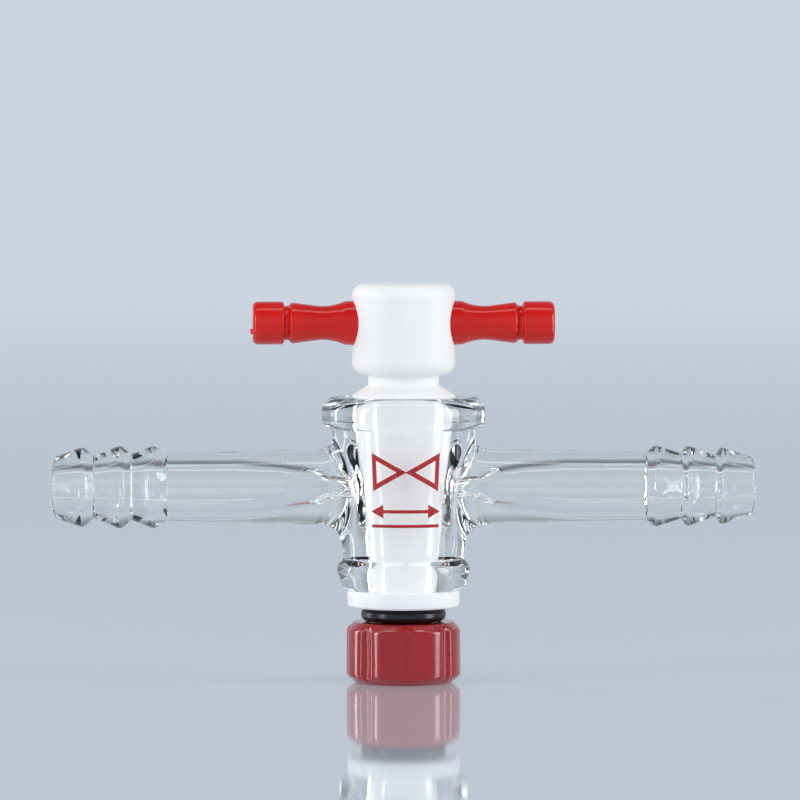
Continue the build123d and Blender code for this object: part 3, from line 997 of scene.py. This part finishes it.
def pale_floor(value):
    """Polished pale acrylic: an even top that mirrors what stands on it and fades out into the backdrop."""
    material, tree = new_material("floor_polished_acrylic")
    place = add(tree, "ShaderNodeTexCoord").outputs["Object"]
    away = add(tree, "ShaderNodeVectorMath", {0: place}, operation="LENGTH").outputs["Value"]
    fade = add(tree, "ShaderNodeMapRange", {"Value": away, "From Min": FLOOR_FADE, "From Max": FLOOR_R},
               interpolation_type="SMOOTHSTEP")
    lit = add(tree, "ShaderNodeBsdfDiffuse", {"Color": opaque(value)})
    even = add(tree, "ShaderNodeEmission", {"Color": opaque(value), "Strength": 1.0})
    top = add(tree, "ShaderNodeMixShader", (0.5, lit.outputs[0], even.outputs[0]))
    mirror = add(tree, "ShaderNodeBsdfGlossy", {"Color": (0.95, 0.96, 0.98, 1), "Roughness": 0.05})
    slant = add(tree, "ShaderNodeLayerWeight", {"Blend": 0.3}).outputs["Facing"]
    share = add(tree, "ShaderNodeMapRange", {"Value": slant, "To Min": 0.05, "To Max": 0.8})
    floor = add(tree, "ShaderNodeMixShader", (share.outputs[0], top.outputs[0], mirror.outputs[0]))
    clear = add(tree, "ShaderNodeBsdfTransparent")
    shader = add(tree, "ShaderNodeMixShader", (fade.outputs[0], floor.outputs[0], clear.outputs[0]))
    add(tree, "ShaderNodeOutputMaterial", {"Surface": shader.outputs[0]})
    return material


def studio_world(value):
    """A pale surround: even to the camera, and dimmer as a light to the sides and overhead."""
    world = bpy.data.worlds.new("studio")
    bpy.context.scene.world = world
    world.use_nodes = True
    tree = world.node_tree
    tree.nodes.clear()
    split = add(tree, "ShaderNodeSeparateXYZ", {0: add(tree, "ShaderNodeTexCoord").outputs["Generated"]})
    side = add(tree, "ShaderNodeMath", (split.outputs["X"],), operation="ABSOLUTE").outputs[0]
    lit = add(tree, "ShaderNodeMapRange", {"Value": side, "From Min": 0.4, "From Max": 0.9,
                                           "To Min": 1.0, "To Max": 0.65}, interpolation_type="SMOOTHSTEP")
    up = add(tree, "ShaderNodeMapRange", {"Value": split.outputs["Z"], "From Min": 0.4, "From Max": 0.85,
                                          "To Min": 1.0, "To Max": 0.35}, interpolation_type="SMOOTHSTEP")
    strength = add(tree, "ShaderNodeMath", (lit.outputs[0], up.outputs[0]), operation="MULTIPLY").outputs[0]
    path = add(tree, "ShaderNodeLightPath").outputs
    mirrored = add(tree, "ShaderNodeMath", (path["Is Glossy Ray"], -0.15, 1.0),
                   operation="MULTIPLY_ADD").outputs[0]
    lighting = add(tree, "ShaderNodeMath", (strength, mirrored), operation="MULTIPLY").outputs[0]
    level = add(tree, "ShaderNodeMix", {"Factor": path["Is Camera Ray"], "A": lighting, "B": 1.0},
                data_type="FLOAT")
    back = add(tree, "ShaderNodeBackground", {"Color": opaque(value), "Strength": level.outputs[0]})
    add(tree, "ShaderNodeOutputWorld", {"Surface": back.outputs[0]})


class STOPCOCK_OT_stage(bpy.types.Operator):
    """Lay the floor, hang the lamps and place the camera"""
    bl_idname = "stopcock.stage"
    bl_label = "Stage"

    def execute(self, context):
        stage = context.scene.stopcock_stage
        pale = tuple(stage.floor_colour)
        shape = bmesh.new()
        bmesh.ops.create_circle(shape, cap_ends=True, segments=96, radius=FLOOR_R)
        mesh = bpy.data.meshes.new("floor")
        shape.to_mesh(mesh)
        shape.free()
        mesh.materials.append(pale_floor(pale))
        floor = bpy.data.objects.new("floor", mesh)
        context.scene.collection.objects.link(floor)
        studio_world(pale)
        for row in LAMPS:
            lamp(*row)
        data = bpy.data.cameras.new("camera")
        data.lens = data.sensor_width * stage.distance / stage.width
        camera = bpy.data.objects.new("camera", data)
        az, el = stage.azimuth, stage.elevation
        back = Vector((sin(az) * cos(el), -cos(az) * cos(el), sin(el)))
        camera.location = Vector(AIM) + back * stage.distance
        camera.rotation_mode = "QUATERNION"
        camera.rotation_quaternion = (-back).to_track_quat("-Z", "Y")
        data.clip_start, data.clip_end = 0.01, 50.0
        context.scene.collection.objects.link(camera)
        context.scene.camera = camera
        context.scene.view_settings.view_transform = "Standard"
        return {"FINISHED"}


STEPS = (
    STOPCOCK_OT_stage, STOPCOCK_OT_glass, STOPCOCK_OT_mark, STOPCOCK_OT_key, STOPCOCK_OT_seals,
    STOPCOCK_OT_handle, STOPCOCK_OT_nut,
)
GROUPS = {
    "stopcock_glass": GlassSettings, "stopcock_key": KeySettings, "stopcock_grip": GripSettings,
    "stopcock_stage": StageSettings,
}


class STOPCOCK_PT_panel(bpy.types.Panel):
    """Settings and steps of the stopcock"""
    bl_idname = "STOPCOCK_PT_panel"
    bl_label = "Glass Stopcock"
    bl_space_type = "VIEW_3D"
    bl_region_type = "UI"
    bl_category = "Stopcock"

    def draw(self, context):
        for name, group in GROUPS.items():
            box = self.layout.box()
            for setting in group.__annotations__:
                box.prop(getattr(context.scene, name), setting)
        for step in STEPS:
            self.layout.operator(step.bl_idname)


def register():
    for group in (*GROUPS.values(), *STEPS, STOPCOCK_PT_panel):
        bpy.utils.register_class(group)
    for name, group in GROUPS.items():
        setattr(bpy.types.Scene, name, PointerProperty(type=group))


def unregister():
    for name in GROUPS:
        delattr(bpy.types.Scene, name)
    for group in reversed((*GROUPS.values(), *STEPS, STOPCOCK_PT_panel)):
        bpy.utils.unregister_class(group)


def main():
    register()
    for step in STEPS:
        area, name = step.bl_idname.split(".")
        getattr(getattr(bpy.ops, area), name)()


if __name__ == "__main__":
    main()
